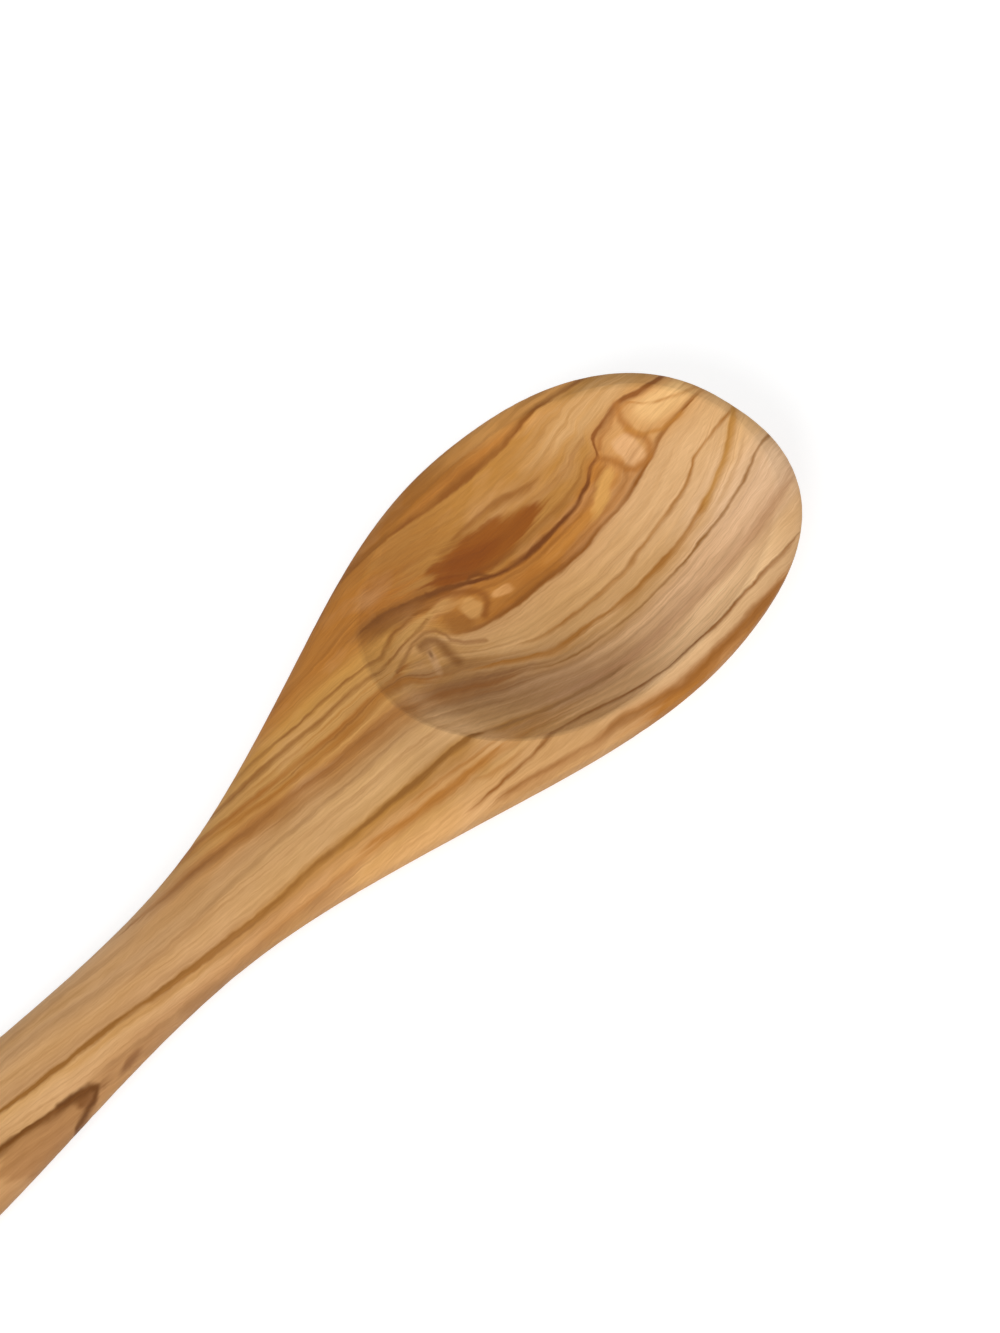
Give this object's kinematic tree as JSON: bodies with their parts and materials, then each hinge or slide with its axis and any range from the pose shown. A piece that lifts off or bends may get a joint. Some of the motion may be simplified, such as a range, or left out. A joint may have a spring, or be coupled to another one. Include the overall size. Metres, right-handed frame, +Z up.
{
  "type": "cooking spoon",
  "caption": "One-piece carved olive-wood cooking spoon: an egg-shaped hollowed bowl that narrows through a neck into a straight, flat-topped handle with a rounded end.",
  "frame": {"origin": "on the table plane, under the middle of the spoon's length, on its centre line", "axes": "+X along the spoon towards the bowl's tip, +Y across it, +Z up out of the hollow, with the spoon lying at rest on its belly and the underside of its grip"},
  "size_m": [0.3047, 0.0636, 0.0182],
  "materials": {
    "olive_wood": "oiled satin"
  },
  "bodies": {
    "root": {"spoon": "olive_wood"}
  },
  "joints": []
}
